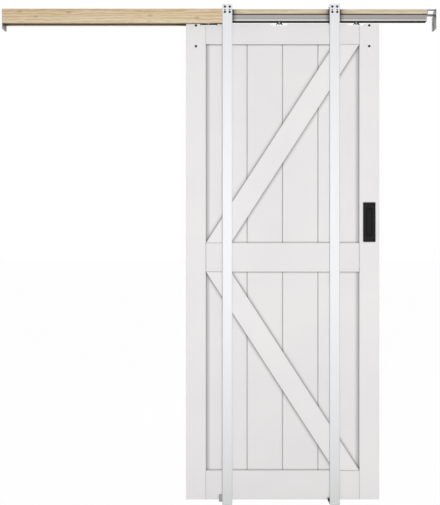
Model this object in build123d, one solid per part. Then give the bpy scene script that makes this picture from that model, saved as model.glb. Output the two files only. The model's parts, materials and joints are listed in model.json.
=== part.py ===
"""A sliding barn door on the pocket frame that carries it, in millimetres.

X runs along the header, Y through the wall from front to back, and Z up.
The origin is on the floor, under the middle of the header, in the wall's middle plane.
"""

import os

from build123d import *

# Frame as a whole
header_length = 1849.0
frame_depth = 89.0
floor_clearance = 18.2
hanging_gap = 10.8

# Header board and nailers
board_thickness = 20.0
nailer_height = 61.3
board_edge_ease = 1.5

# Track
track_height = 30.0
track_side_room = 1.0
track_lip_step = 1.5
track_neck_step = 4.0
track_neck_height = 4.0
track_lip_height = 9.0
track_wall = 3.0
track_roof = 1.5
track_flange = 3.0
track_slot = 13.0
track_screw_count = 6
track_screw_end_margin = 45.0
track_screw_grip = 12.0

# End brackets
end_plate_thickness = 2.0
end_plate_height = 84.5
loop_length = 36.5
loop_height = 22.0
loop_side_room = 0.5
loop_bend = 3.0
bracket_lip = 5.5
bracket_hole_radius = 2.75
bracket_hole_spacing_depth = 44.0
bracket_hole_spacing_height = 40.0
bracket_hole_edge = 9.5
bracket_screw_spacing = 30.0
bracket_screw_head_radius = 5.0
bracket_screw_head_height = 5.0
bracket_screw_radius = 2.5
bracket_screw_grip = 32.0

# Split studs and their feet
stud_width = 42.5
stud_depth = 14.5
stud_wall = 1.5
stud_bend = 2.5
stud_rise = 21.0
jamb_stud_place = 34.5
stud_spacing = 457.4
stud_hole_columns = 20.4
stud_hole_radius = 5.0
stud_hole_above = 9.0
stud_hole_below = 13.8
stud_screw_drop = 4.5
plug_recess = 0.3
plug_flange = 1.2
plug_flange_radius = 6.2
foot_thickness = 2.0
foot_tab_height = 26.0
foot_tab_width = 30.0
foot_hole_radius = 2.75
foot_hole_spacing = 40.0

# Small wood screws with a sunk head
wood_screw_radius = 1.8
wood_screw_head_radius = 3.2
wood_screw_head_depth = 1.4
wood_screw_grip = 14.0

# Small wood screws with a low tapered head
pan_head_radius = 3.2
pan_head_height = 1.8
pan_crown_share = 0.7

# Door guides at the mouth of the pocket
guide_reach = 14.15
guide_height = 29.5
guide_lift = 11.5
guide_inset = 4.5
guide_door_room = 1.5
guide_nose = 5.0

# Rub pads on the pocket studs
pad_reach = 7.0
pad_height = 11.0
pad_lift = 13.0
pad_ease = 1.0

# Track stops
stop_length = 16.0
stop_side_room = 2.5
stop_height = 18.0
stop_ease = 2.0
buffer_length = 8.0
buffer_radius = 6.0
stop_room = 0.5
jamb_allowance = 19.0

# Door
door_width = 825.7
door_height = 2032.0
door_thickness = 35.0
door_place = 271.0
stile_width = 85.0
top_rail_height = 87.0
mid_rail_height = 123.5
bottom_rail_height = 124.0
brace_end_length = 106.4
door_edge_ease = 1.2
plank_thickness = 14.0
plank_width = 151.6
plank_groove_depth = 10.0
plank_end_room = 1.0
plank_side_room = 0.25
tongue_length = 6.0
tongue_thickness = 4.5
tongue_room = 0.2
plank_vee = 2.6

# Blind holes near the top of each stile
strap_hole_radius = 5.4
strap_hole_depth = 14.0
strap_hole_top = 6.4
strap_hole_spacing = 88.6

# Flush pulls
pull_width = 52.6
pull_height = 168.8
pull_plate = 1.8
pull_corner = 2.5
pull_edge = 0.8
pull_above_door_bottom = 1184.8
cup_width = 25.0
cup_height = 116.0
cup_depth = 11.0
cup_wall = 1.5
cup_corner = 5.0
cup_room = 0.4
pull_screw_spacing = 139.0

# Hangers on the door's top edge
hanger_edge_distance = 97.15
middle_hanger_offset = -13.8
notch_length = 74.0
notch_depth = 7.0
hanger_plate_length = 70.0
hanger_plate_width = 30.0
hanger_plate_sheet = 2.5
hanger_leg_foot = 15.5
hanger_hump = 8.0
hanger_hump_height = 13.3
hanger_leg_sheet = 2.0
hanger_screw_spacing = 59.0
hanger_screw_row_spacing = 16.0
hanger_screw_grip = 28.0
bolt_radius = 3.0
bolt_head_radius = 5.4
bolt_head_height = 3.6
bolt_tail_room = 0.5
nut_radius = 5.5
nut_height = 4.0

# Trucks and wheels
truck_length = 60.0
truck_thickness = 12.0
truck_height = 12.6
truck_end_ease = 4.0
wheel_radius = 9.0
wheel_width = 7.0
wheel_edge = 0.8
wheel_dish = 1.2
wheel_hub_radius = 4.6
wheel_spacing = 36.0
rear_wheel_offset = 12.0
wheel_track_room = 0.3
axle_radius = 2.5
axle_seat = 4.5
axle_shoulder_radius = 4.0
axle_shoulder = 1.2
axle_head_radius = 4.2
axle_head = 1.5
axle_running_room = 0.05
wheel_end_room = 0.2

# Fits and cuts
screw_room = 0.05
cut_overrun = 5.0

# Heights that follow from the sizes above
door_bottom = floor_clearance
door_top = door_bottom + door_height
track_bottom = door_top + hanging_gap
track_top = track_bottom + track_height
header_top = track_top + board_thickness
nailer_bottom = header_top - nailer_height
stud_top = header_top + stud_rise
neck_bottom = track_top - track_neck_height
cavity_top = neck_bottom - track_roof
running_height = track_bottom + track_flange
axle_height = running_height + wheel_track_room + wheel_radius
loop_bottom = header_top - loop_height
end_plate_bottom = header_top - end_plate_height
bracket_hole_middle = end_plate_bottom + bracket_hole_edge + bracket_hole_spacing_height / 2

# Places along the header
plate_inner = header_length / 2 - end_plate_thickness
board_end = plate_inner - loop_length
pocket_stud_place = jamb_stud_place + stud_spacing
jamb_edge = jamb_stud_place - stud_width / 2
door_left = door_place - door_width / 2
door_right = door_place + door_width / 2
panel_left = door_left + stile_width
panel_right = door_right - stile_width
hanger_places = {
    "left": door_left + hanger_edge_distance,
    "middle": door_place + middle_hanger_offset,
    "right": door_right - hanger_edge_distance,
}
open_travel = jamb_edge - door_left
close_travel = door_left + plate_inner - jamb_allowance

# Places through the wall
frame_front = -frame_depth / 2
board_front = frame_front + stud_depth
board_width = frame_depth - 2 * stud_depth
track_width = board_width - 2 * track_side_room
track_body_width = track_width - 2 * track_lip_step
track_neck_width = track_width - 2 * track_neck_step
track_cavity_width = track_body_width - 2 * track_wall
stop_width = track_cavity_width - 2 * stop_side_room
door_front = -door_thickness / 2
plank_front = -plank_thickness / 2

# Heights on the door
rail_top = door_bottom + bottom_rail_height
rail_under = door_top - top_rail_height
mid_rail_middle = (rail_top + rail_under) / 2
mid_rail_bottom = mid_rail_middle - mid_rail_height / 2
mid_rail_top = mid_rail_middle + mid_rail_height / 2
pull_middle = door_bottom + pull_above_door_bottom
pull_place = door_right - stile_width / 2
notch_floor = door_top - notch_depth
hump_top = notch_floor + hanger_hump_height
foot_top = notch_floor + hanger_plate_sheet

# Places on a truck
wheel_inner_face = truck_thickness / 2 + axle_shoulder + wheel_end_room
axle_head_face = wheel_inner_face + wheel_width + wheel_end_room

# Directions
toward_back = (0, 1, 0)
toward_front = (0, -1, 0)
toward_left = (-1, 0, 0)
toward_right = (1, 0, 0)
upward = (0, 0, 1)
downward = (0, 0, -1)

os.makedirs("parts", exist_ok=True)


def save(name, *pieces):
    """Write one named piece, or a group of like pieces, to its own file."""
    solids = [solid for piece in pieces for solid in piece.solids()]
    whole = solids[0] if len(solids) == 1 else Compound(solids)
    export_step(whole, f"parts/{name}.step")


def block(x_span, y_span, z_span):
    """A box between two places on each axis."""
    x_size = x_span[1] - x_span[0]
    y_size = y_span[1] - y_span[0]
    z_size = z_span[1] - z_span[0]
    middle = Pos(sum(x_span) / 2, sum(y_span) / 2, sum(z_span) / 2)
    return middle * Box(x_size, y_size, z_size)


def about(middle, size):
    """The span of a size about its middle."""
    return (middle - size / 2, middle + size / 2)


def rod(start, direction, length, radius):
    """A round bar that starts at a point and runs along a direction."""
    base = Plane(origin=start, z_dir=direction)
    return base * Cylinder(radius, length, align=(Align.CENTER, Align.CENTER, Align.MIN))


def cone(start, direction, length, start_radius, end_radius):
    """A tapered bar that starts at a point and runs along a direction."""
    base = Plane(origin=start, z_dir=direction)
    return base * Cone(start_radius, end_radius, length, align=(Align.CENTER, Align.CENTER, Align.MIN))


def hexagon(start, height, radius):
    """An upright hexagonal prism that starts at a point."""
    return Pos(*start) * extrude(RegularPolygon(radius, 6), height)


def step_along(start, direction, distance):
    """The point that lies a distance along a direction."""
    return tuple(place + distance * share for place, share in zip(start, direction))


def rear(piece):
    """The same piece on the other side of the wall's middle plane."""
    return mirror(piece, about=Plane.XZ)


def sunk_screw(face_point, direction, length, room=0):
    """A screw with its head flush in a face; with room it is the hole for that screw."""
    head = cone(face_point, direction, wood_screw_head_depth, wood_screw_head_radius + room,
                wood_screw_radius + room)
    neck = step_along(face_point, direction, wood_screw_head_depth)
    return head + rod(neck, direction, length - wood_screw_head_depth + room, wood_screw_radius + room)


def pan_screw(face_point, direction, grip):
    """A screw whose low head stands on a face."""
    crown = step_along(face_point, direction, -pan_head_height)
    head = cone(crown, direction, pan_head_height, pan_head_radius * pan_crown_share, pan_head_radius)
    return head + rod(face_point, direction, grip, wood_screw_radius)


def screw_hole(start, direction, depth, radius):
    """The hole that a screw's shank of a given radius needs."""
    return rod(start, direction, depth + screw_room, radius + screw_room)


# Header board, with holes for the screws of the track, the studs and the brackets
track_screw_run = board_end - track_screw_end_margin
track_screw_pitch = 2 * track_screw_run / (track_screw_count - 1)
track_screw_points = [
    (track_screw_pitch * index - track_screw_run, 0, cavity_top) for index in range(track_screw_count)
]
track_screw_length = track_roof + track_neck_height + track_screw_grip
stud_screw_height = header_top - stud_screw_drop
stud_screw_points = [
    (stud_place + column, frame_front, stud_screw_height)
    for stud_place in (jamb_stud_place, pocket_stud_place)
    for column in about(0, stud_hole_columns)
]
stud_screw_length = stud_depth + wood_screw_grip
end_leaf = board_end + end_plate_thickness
bracket_screw_height = loop_bottom + loop_height / 2
bracket_screw_points = [
    (end_leaf, depth, bracket_screw_height) for depth in about(0, bracket_screw_spacing)
]

board = block(about(0, 2 * board_end), about(0, board_width), (track_top, header_top))
board = chamfer(board.edges().filter_by(Axis.X), board_edge_ease)
for point in track_screw_points:
    board -= screw_hole(point, upward, track_screw_length, wood_screw_radius)
for point in stud_screw_points:
    stud_hole = screw_hole(point, toward_back, stud_screw_length, wood_screw_radius)
    board -= stud_hole
    board -= rear(stud_hole)
for point in bracket_screw_points:
    bracket_hole = screw_hole(point, toward_left, bracket_screw_grip, bracket_screw_radius)
    board -= bracket_hole
    board -= mirror(bracket_hole, about=Plane.YZ)
save("header_board", board)

# Nailers, from the left end plate to the jamb stud
nailer = block((-plate_inner, jamb_edge), (frame_front, board_front), (nailer_bottom, header_top))
nailer = chamfer(nailer.edges().filter_by(Axis.X), board_edge_ease)
save("front_nailer", nailer)
save("rear_nailer", rear(nailer))


# Track: a necked box with a wide lip, hollow inside and slotted along its underside
def track_slab(width, bottom, top):
    """A full-length slab of the track's section."""
    return block(about(0, 2 * board_end), about(0, width), (bottom, top))


def track_cut(width, bottom, top):
    """A full-length cut through the track's section."""
    return block(about(0, 2 * board_end + cut_overrun), about(0, width), (bottom, top))


track = track_slab(track_neck_width, neck_bottom, track_top)
track += track_slab(track_body_width, track_bottom, neck_bottom)
track += track_slab(track_width, track_bottom, track_bottom + track_lip_height)
track -= track_cut(track_cavity_width, running_height, cavity_top)
track -= track_cut(track_slot, track_bottom - cut_overrun, running_height)
for point in track_screw_points:
    track -= screw_hole(point, upward, track_screw_length, wood_screw_radius)
save("track", track)
save("track_screws", *[pan_screw(point, upward, track_screw_length) for point in track_screw_points])


# End brackets: a plate with a lip, and a loop that is screwed to the board's end
def end_bracket(lip_top):
    """The right-hand bracket, with its lip up to a given height."""
    plate = block((plate_inner, plate_inner + end_plate_thickness), about(0, frame_depth),
                  (end_plate_bottom, header_top))
    loop_width = board_width - 2 * loop_side_room
    loop = block((board_end, plate_inner), about(0, loop_width), (loop_bottom, header_top))
    board_side = loop.edges().filter_by(Axis.Y).group_by(Axis.X)[0]
    loop = fillet(board_side, loop_bend)
    hollow = block((end_leaf, plate_inner), about(0, loop_width + cut_overrun),
                   (loop_bottom + end_plate_thickness, header_top - end_plate_thickness))
    board_side = hollow.edges().filter_by(Axis.Y).group_by(Axis.X)[0]
    loop -= fillet(board_side, loop_bend - end_plate_thickness)
    loop -= block((end_leaf + loop_bend, plate_inner), (0, loop_width),
                  (header_top - end_plate_thickness, header_top + cut_overrun))
    lip_depths = (-frame_front - end_plate_thickness, -frame_front)
    lip = block((plate_inner - bracket_lip, plate_inner), lip_depths, (end_plate_bottom, lip_top))
    bracket = plate + loop + lip
    for depth in about(0, bracket_hole_spacing_depth):
        for height in about(bracket_hole_middle, bracket_hole_spacing_height):
            start = (plate_inner - cut_overrun, depth, height)
            bracket -= rod(start, toward_right, end_plate_thickness + 2 * cut_overrun, bracket_hole_radius)
    for point in bracket_screw_points:
        bracket -= screw_hole(point, toward_left, bracket_screw_grip, bracket_screw_radius)
    return bracket


def bracket_screw(point):
    """A hexagon-headed screw into the board's right end."""
    head = Plane(origin=point, z_dir=toward_right) * extrude(
        RegularPolygon(bracket_screw_head_radius, 6), bracket_screw_head_height)
    return head + rod(point, toward_left, bracket_screw_grip, bracket_screw_radius)


save("right_end_bracket", end_bracket(loop_bottom))
save("left_end_bracket", mirror(end_bracket(nailer_bottom), about=Plane.YZ))
right_bracket_screws = [bracket_screw(point) for point in bracket_screw_points]
left_bracket_screws = [mirror(screw, about=Plane.YZ) for screw in right_bracket_screws]
save("bracket_screws", *right_bracket_screws, *left_bracket_screws)


# Split studs: folded channels, open towards the pocket, standing on their feet
def stud_holes(place):
    """The columns and heights of the round holes near a stud's top."""
    return [
        (column, height)
        for column in about(place, stud_hole_columns)
        for height in (header_top + stud_hole_above, header_top - stud_hole_below)
    ]


def front_stud(place):
    """The front stud at a place along the header."""
    stud = block(about(place, stud_width), (frame_front, board_front), (foot_thickness, stud_top))
    front_edges = stud.edges().filter_by(Axis.Z).group_by(Axis.Y)[0]
    stud = fillet(front_edges, stud_bend)
    hollow = block(about(place, stud_width - 2 * stud_wall), (frame_front + stud_wall, board_front),
                   (foot_thickness, stud_top))
    hollow_edges = hollow.edges().filter_by(Axis.Z).group_by(Axis.Y)[0]
    stud -= fillet(hollow_edges, stud_bend - stud_wall)
    for column, height in stud_holes(place):
        hole_start = (column, frame_front - cut_overrun, height)
        stud -= rod(hole_start, toward_back, 2 * cut_overrun, stud_hole_radius)
    for column in about(place, stud_hole_columns):
        screw_start = (column, frame_front, stud_screw_height)
        stud -= sunk_screw(screw_start, toward_back, stud_screw_length, screw_room)
    return stud


def hole_plugs(place):
    """The plugs that close a front stud's holes, pushed in from inside the stud."""
    plugs = []
    for column, height in stud_holes(place):
        stem_start = (column, frame_front + plug_recess, height)
        flange_start = (column, frame_front + stud_wall, height)
        stem = rod(stem_start, toward_back, stud_wall - plug_recess, stud_hole_radius - screw_room)
        plugs.append(stem + rod(flange_start, toward_back, plug_flange, plug_flange_radius))
    return plugs


def stud_foot(place):
    """A floor plate under a front and a rear stud, with a tab up inside each."""
    foot = block(about(place, stud_width), about(0, frame_depth), (0, foot_thickness))
    tab_front = frame_front + stud_wall
    tab = block(about(place, foot_tab_width), (tab_front, tab_front + foot_thickness),
                (0, foot_thickness + foot_tab_height))
    foot += tab
    foot += rear(tab)
    for depth in about(0, foot_hole_spacing):
        hole_start = (place, depth, -cut_overrun)
        foot -= rod(hole_start, upward, foot_thickness + 2 * cut_overrun, foot_hole_radius)
    return foot


# Door guides, screwed to the opening side of the jamb studs
guide_front = frame_front + guide_inset
guide_back = door_front - guide_door_room
guide_middle = guide_lift + guide_height / 2
guide_screw_point = (jamb_edge - guide_reach, (guide_front + board_front) / 2, guide_middle)
guide_screw_length = guide_reach + stud_wall + guide_inset
guide_screw = sunk_screw(guide_screw_point, toward_right, guide_screw_length)
guide_screw_hole = sunk_screw(guide_screw_point, toward_right, guide_screw_length, screw_room)

guide = block((jamb_edge - guide_reach, jamb_edge), (guide_front, guide_back),
              about(guide_middle, guide_height))
nose_edges = guide.edges().filter_by(Axis.Z).group_by(Axis.Y)[-1]
guide = fillet(nose_edges, guide_nose)
guide -= guide_screw_hole
save("door_guide_front", guide)
save("door_guide_rear", rear(guide))
save("guide_screws", guide_screw, rear(guide_screw))

# Rub pads, stuck to the opening side of the pocket studs
pocket_edge = pocket_stud_place - stud_width / 2
pad = block((pocket_edge - pad_reach, pocket_edge), (guide_front, guide_back),
            about(pad_lift + pad_height / 2, pad_height))
pad = chamfer(pad.faces().sort_by(Axis.X)[0].edges(), pad_ease)
save("pocket_rub_pads", pad, rear(pad))

plugs = []
for stud_name, stud_place in (("jamb", jamb_stud_place), ("pocket", pocket_stud_place)):
    plugs += hole_plugs(stud_place)
    stud = front_stud(stud_place) - guide_screw_hole
    save(f"{stud_name}_stud_front", stud)
    save(f"{stud_name}_stud_rear", rear(stud))
    save(f"{stud_name}_floor_bracket", stud_foot(stud_place))
front_stud_screws = [sunk_screw(point, toward_back, stud_screw_length) for point in stud_screw_points]
rear_stud_screws = [rear(screw) for screw in front_stud_screws]
save("stud_screws", *front_stud_screws, *rear_stud_screws)
save("stud_plugs", *plugs, *[rear(plug) for plug in plugs])


# Track stops, each with a rubber buffer towards the trucks
def track_stop(buffer_tip, direction):
    """A stop block in the track, and its buffer, for a truck that comes along a direction."""
    face = buffer_tip + direction * buffer_length
    far = face + direction * stop_length
    stop = block((min(face, far), max(face, far)), about(0, stop_width),
                 (running_height, running_height + stop_height))
    stop = chamfer(stop.edges().filter_by(Axis.Z), stop_ease)
    buffer = rod((face, 0, axle_height), (-direction, 0, 0), buffer_length, buffer_radius)
    return stop, buffer


truck_reach = truck_length / 2 + stop_room
pocket_stop, pocket_buffer = track_stop(hanger_places["right"] + open_travel + truck_reach, 1)
closing_stop, closing_buffer = track_stop(hanger_places["left"] - close_travel - truck_reach, -1)
save("pocket_stop", pocket_stop)
save("closing_stop", closing_stop)
save("stop_buffers", pocket_buffer, closing_buffer)


# Notches and screw holes that the hangers need in the door's top edge
def hanger_screw_points(place):
    """The points on a hanger plate where its screws' heads stand."""
    return [
        (column, depth, foot_top)
        for column in about(place, hanger_screw_spacing)
        for depth in about(0, hanger_screw_row_spacing)
    ]


hanger_cuts = []
for hanger_place in hanger_places.values():
    hanger_cuts.append(block(about(hanger_place, notch_length), about(0, door_thickness + cut_overrun),
                             (notch_floor, door_top + cut_overrun)))
    for point in hanger_screw_points(hanger_place):
        hanger_cuts.append(screw_hole(point, downward, hanger_plate_sheet + hanger_screw_grip,
                                      wood_screw_radius))

# Stiles, grooved along their inner edge, with blind holes near their tops
plank_slot = plank_thickness + 2 * plank_side_room
plank_reach = plank_groove_depth - plank_end_room


def stile(left):
    """A stile from its left edge, before its own cuts."""
    piece = block((left, left + stile_width), about(0, door_thickness), (door_bottom, door_top))
    piece = chamfer(piece.edges().filter_by(Axis.Z), door_edge_ease)
    piece -= block((panel_left - plank_groove_depth, panel_right + plank_groove_depth),
                   about(0, plank_slot), (door_bottom - cut_overrun, door_top + cut_overrun))
    strap_hole_height = door_top - strap_hole_top
    for height in (strap_hole_height, strap_hole_height - strap_hole_spacing):
        start = (left + stile_width / 2, door_front, height)
        piece -= rod(start, toward_back, strap_hole_depth, strap_hole_radius)
    for cut in hanger_cuts:
        piece -= cut
    return piece


# Flush pulls: a bevelled plate and a cup, drawn from sheet as one piece
def pull_cup(room, depth):
    """The outside of a pull's cup, with room around it."""
    cup = block(about(pull_place, cup_width + 2 * cup_wall + 2 * room), (door_front, door_front + depth),
                about(pull_middle, cup_height + 2 * cup_wall + 2 * room))
    return fillet(cup.edges().filter_by(Axis.Y), cup_corner + cup_wall + room)


plate_front = door_front - pull_plate
pull = block(about(pull_place, pull_width), (plate_front, door_front), about(pull_middle, pull_height))
pull = fillet(pull.edges().filter_by(Axis.Y), pull_corner)
pull = chamfer(pull.faces().sort_by(Axis.Y)[0].edges(), pull_edge)
pull += pull_cup(0, cup_depth + cup_wall - pull_plate)
finger_room = block(about(pull_place, cup_width), (plate_front - cut_overrun, plate_front + cup_depth),
                    about(pull_middle, cup_height))
pull -= fillet(finger_room.edges().filter_by(Axis.Y), cup_corner)
pull_screw_points = [(pull_place, plate_front, height) for height in about(pull_middle, pull_screw_spacing)]
pull_screws = [sunk_screw(point, toward_back, wood_screw_grip) for point in pull_screw_points]
pull_screw_holes = [
    sunk_screw(point, toward_back, wood_screw_grip, screw_room) for point in pull_screw_points
]
pull_pocket = pull_cup(cup_room, cup_depth + cup_wall - pull_plate + cup_room)
for hole in pull_screw_holes:
    pull -= hole
    pull_pocket += hole
save("front_flush_pull", pull)
save("rear_flush_pull", rear(pull))
save("pull_screws", *pull_screws, *[rear(screw) for screw in pull_screws])

save("left_stile", stile(door_left))
save("right_stile", stile(panel_right) - pull_pocket - rear(pull_pocket))


# Top and bottom rails, with tenons in the stiles' grooves and a groove for the planks' ends
def rail(bottom, top, groove_bottom, groove_top):
    """A rail between the stiles, grooved between two heights."""
    piece = block((panel_left, panel_right), about(0, door_thickness), (bottom, top))
    piece = chamfer(piece.edges().filter_by(Axis.X), door_edge_ease)
    piece += block((panel_left - plank_reach, panel_right + plank_reach), about(0, plank_thickness),
                   (bottom, top))
    piece -= block((panel_left - plank_groove_depth, panel_right + plank_groove_depth),
                   about(0, plank_slot), (groove_bottom, groove_top))
    return piece


top_rail = rail(rail_under, door_top, rail_under - cut_overrun, rail_under + plank_groove_depth)
for cut in hanger_cuts:
    top_rail -= cut
save("top_rail", top_rail)
save("bottom_rail", rail(door_bottom, rail_top, rail_top - plank_groove_depth, rail_top + cut_overrun))

# Planks: tongue and groove boards with a vee along each joint, on both faces
plank_edges = [
    panel_left - plank_reach,
    door_place - plank_width,
    door_place,
    door_place + plank_width,
    panel_right + plank_reach,
]
plank_heights = (rail_top - plank_reach, rail_under + plank_reach)


def plank(left, right, has_groove, has_tongue):
    """A plank between two joints, with a tongue on its right and a groove on its left."""
    piece = block((left, right), about(0, plank_thickness), plank_heights)
    if has_groove:
        left_edges = piece.edges().filter_by(Axis.Z).group_by(Axis.X)[0]
        piece = chamfer(left_edges, plank_vee)
        groove = block((left - cut_overrun, left + tongue_length + tongue_room),
                       about(0, tongue_thickness + 2 * tongue_room), plank_heights)
        piece -= groove
    if has_tongue:
        right_edges = piece.edges().filter_by(Axis.Z).group_by(Axis.X)[-1]
        piece = chamfer(right_edges, plank_vee)
        piece += block((right, right + tongue_length), about(0, tongue_thickness), plank_heights)
    return piece


plank_count = len(plank_edges) - 1
for index in range(plank_count):
    board_piece = plank(plank_edges[index], plank_edges[index + 1], index > 0, index < plank_count - 1)
    save(f"plank_{index + 1}", board_piece)


# Mid rails and braces, laid on the planks' faces between the stiles and rails
def laid_on(outline):
    """A board of the given outline, from the planks' front face to the door's front face."""
    corners = [(along, plank_front, height) for along, height in outline]
    face = make_face(Polyline(*corners, close=True))
    piece = extrude(face, plank_front - door_front, dir=toward_front)
    return chamfer(piece.faces().sort_by(Axis.Y)[0].edges(), door_edge_ease)


mid_rail = laid_on([
    (panel_left, mid_rail_bottom), (panel_right, mid_rail_bottom),
    (panel_right, mid_rail_top), (panel_left, mid_rail_top),
])
upper_brace = laid_on([
    (panel_left, mid_rail_top), (panel_left + brace_end_length, mid_rail_top),
    (panel_right, rail_under), (panel_right - brace_end_length, rail_under),
])
lower_brace = laid_on([
    (panel_left, mid_rail_bottom), (panel_left + brace_end_length, mid_rail_bottom),
    (panel_right, rail_top), (panel_right - brace_end_length, rail_top),
])
laid_pieces = {"mid_rail": mid_rail, "upper_brace": upper_brace, "lower_brace": lower_brace}
for laid_name, laid_piece in laid_pieces.items():
    save(f"front_{laid_name}", laid_piece)
    save(f"rear_{laid_name}", rear(laid_piece))


# Hangers: a plate in the door's notch, a bracket welded on it, a bolt through the bracket, and a truck
def hanger_plate(place):
    """A flat plate on the notch's floor, with its screws' holes."""
    plate = block(about(place, hanger_plate_length), about(0, hanger_plate_width), (notch_floor, foot_top))
    for point in hanger_screw_points(place):
        plate -= screw_hole(point, downward, hanger_plate_sheet, wood_screw_radius)
    return plate


def hanger_bracket(place):
    """A bracket with two sloping legs, and a hole for the bolt in its top."""
    outline = [
        (place + hanger_leg_foot, foot_top),
        (place + hanger_hump, hump_top),
        (place - hanger_hump, hump_top),
        (place - hanger_leg_foot, foot_top),
        (place - hanger_leg_foot + hanger_leg_sheet, foot_top),
        (place - hanger_hump + hanger_leg_sheet, hump_top - hanger_plate_sheet),
        (place + hanger_hump - hanger_leg_sheet, hump_top - hanger_plate_sheet),
        (place + hanger_leg_foot - hanger_leg_sheet, foot_top),
    ]
    corners = [(along, -hanger_plate_width / 2, height) for along, height in outline]
    bracket = extrude(make_face(Polyline(*corners, close=True)), hanger_plate_width, dir=toward_back)
    return bracket - screw_hole((place, 0, foot_top), upward, hanger_hump_height, bolt_radius)


def pendant_bolt(place):
    """A bolt that hangs from the top of a truck down through the hanger plate."""
    truck_top = axle_height + truck_height / 2
    tail = foot_top + bolt_tail_room
    head = hexagon((place, 0, truck_top), bolt_head_height, bolt_head_radius)
    return head + rod((place, 0, tail), upward, truck_top - tail, bolt_radius)


def nut(place, bottom):
    """A nut on a pendant bolt."""
    piece = hexagon((place, 0, bottom), nut_height, nut_radius)
    start = (place, 0, bottom - cut_overrun)
    return piece - screw_hole(start, upward, nut_height + 2 * cut_overrun, bolt_radius)


def truck(place):
    """A truck's body, bored for the bolt and for the three wheels' axles."""
    piece = block(about(place, truck_length), about(0, truck_thickness), about(axle_height, truck_height))
    piece = fillet(piece.edges().filter_by(Axis.Y), truck_end_ease)
    bolt_start = (place, 0, axle_height - truck_height)
    piece -= screw_hole(bolt_start, upward, 2 * truck_height, bolt_radius)
    for start, direction in wheel_stations(place):
        piece -= screw_hole(start, direction, truck_thickness, axle_radius)
    return piece


def wheel_stations(place):
    """Where each wheel's axle starts inside a truck, and which way it points."""
    inside = truck_thickness / 2 - axle_seat
    return [
        ((place - wheel_spacing / 2, -inside, axle_height), toward_front),
        ((place + wheel_spacing / 2, -inside, axle_height), toward_front),
        ((place + rear_wheel_offset, inside, axle_height), toward_back),
    ]


def axle(start, direction):
    """A stub axle with a shoulder against the truck and a head outside the wheel."""
    face = step_along(start, direction, axle_seat)
    head_start = step_along(face, direction, axle_head_face - truck_thickness / 2)
    pin = rod(start, direction, axle_seat + axle_head_face - truck_thickness / 2, axle_radius)
    pin += rod(face, direction, axle_shoulder, axle_shoulder_radius)
    return pin + rod(head_start, direction, axle_head, axle_head_radius)


def wheel(start, direction):
    """A wheel on its stub axle, with a dished outer face."""
    inner = step_along(start, direction, axle_seat + wheel_inner_face - truck_thickness / 2)
    outer = step_along(inner, direction, wheel_width)
    piece = rod(inner, direction, wheel_width, wheel_radius)
    piece = chamfer(piece.edges().filter_by(GeomType.CIRCLE), wheel_edge)
    inward = tuple(-share for share in direction)
    dish = rod(outer, inward, wheel_dish, wheel_radius - 2 * wheel_dish)
    piece -= dish - rod(outer, inward, wheel_dish, wheel_hub_radius)
    return piece - rod(inner, direction, wheel_width, axle_radius + axle_running_room)


hanger_plates = []
hanger_screws = []
bolts = []
nuts = []
axles = []
for side, hanger_place in hanger_places.items():
    hanger_plates.append(hanger_plate(hanger_place))
    save(f"{side}_hanger_bracket", hanger_bracket(hanger_place))
    save(f"{side}_truck", truck(hanger_place))
    bolts.append(pendant_bolt(hanger_place))
    nuts.append(nut(hanger_place, hump_top - hanger_plate_sheet - nut_height))
    nuts.append(nut(hanger_place, hump_top))
    for point in hanger_screw_points(hanger_place):
        hanger_screws.append(pan_screw(point, downward, hanger_plate_sheet + hanger_screw_grip))
    for index, (start, direction) in enumerate(wheel_stations(hanger_place)):
        axles.append(axle(start, direction))
        save(f"{side}_truck_wheel_{index + 1}", wheel(start, direction))
save("hanger_plates", *hanger_plates)
save("hanger_plate_screws", *hanger_screws)
save("pendant_bolts", *bolts)
save("hanger_nuts", *nuts)
save("wheel_axles", *axles)

print("slide travel", -close_travel, open_travel)
print("wheel axle height", axle_height)
print("hangers", hanger_places)
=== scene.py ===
"""The looks of the sliding barn door and its pocket frame, in metres, in the part's own frame."""

import json
import math

import bmesh
import bpy
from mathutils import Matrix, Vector


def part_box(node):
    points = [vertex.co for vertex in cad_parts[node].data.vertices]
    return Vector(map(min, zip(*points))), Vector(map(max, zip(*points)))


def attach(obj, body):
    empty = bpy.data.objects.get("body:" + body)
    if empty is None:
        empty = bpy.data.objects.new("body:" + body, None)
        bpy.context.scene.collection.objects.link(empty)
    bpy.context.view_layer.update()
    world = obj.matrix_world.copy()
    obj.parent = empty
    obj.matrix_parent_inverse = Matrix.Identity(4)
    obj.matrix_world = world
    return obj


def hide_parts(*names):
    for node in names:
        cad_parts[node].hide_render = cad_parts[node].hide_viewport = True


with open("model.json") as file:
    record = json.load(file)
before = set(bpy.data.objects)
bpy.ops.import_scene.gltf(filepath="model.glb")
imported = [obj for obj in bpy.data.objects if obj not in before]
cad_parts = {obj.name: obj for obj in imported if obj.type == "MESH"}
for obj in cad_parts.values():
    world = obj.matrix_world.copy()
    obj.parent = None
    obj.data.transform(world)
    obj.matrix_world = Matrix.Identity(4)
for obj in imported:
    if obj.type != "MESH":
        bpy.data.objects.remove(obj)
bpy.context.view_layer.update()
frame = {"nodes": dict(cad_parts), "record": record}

MM = 0.001
NODES = frame["nodes"]
SLOT_OF = {row["node"]: row["material_slot"] for row in frame["record"]["subparts"]}


def linear(code):
    """The linear colour of an sRGB hex code."""
    channels = [int(code[start:start + 2], 16) / 255 for start in (1, 3, 5)]
    return [channel / 12.92 if channel <= 0.04045 else ((channel + 0.055) / 1.055) ** 2.4
            for channel in channels] + [1.0]


def per(size_mm):
    """The texture scale at which one cell of a pattern is a size in millimetres."""
    return 1 / (size_mm * MM)


def at(x, y, z):
    """A point or a size given in millimetres."""
    return Vector((x, y, z)) * MM


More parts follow.
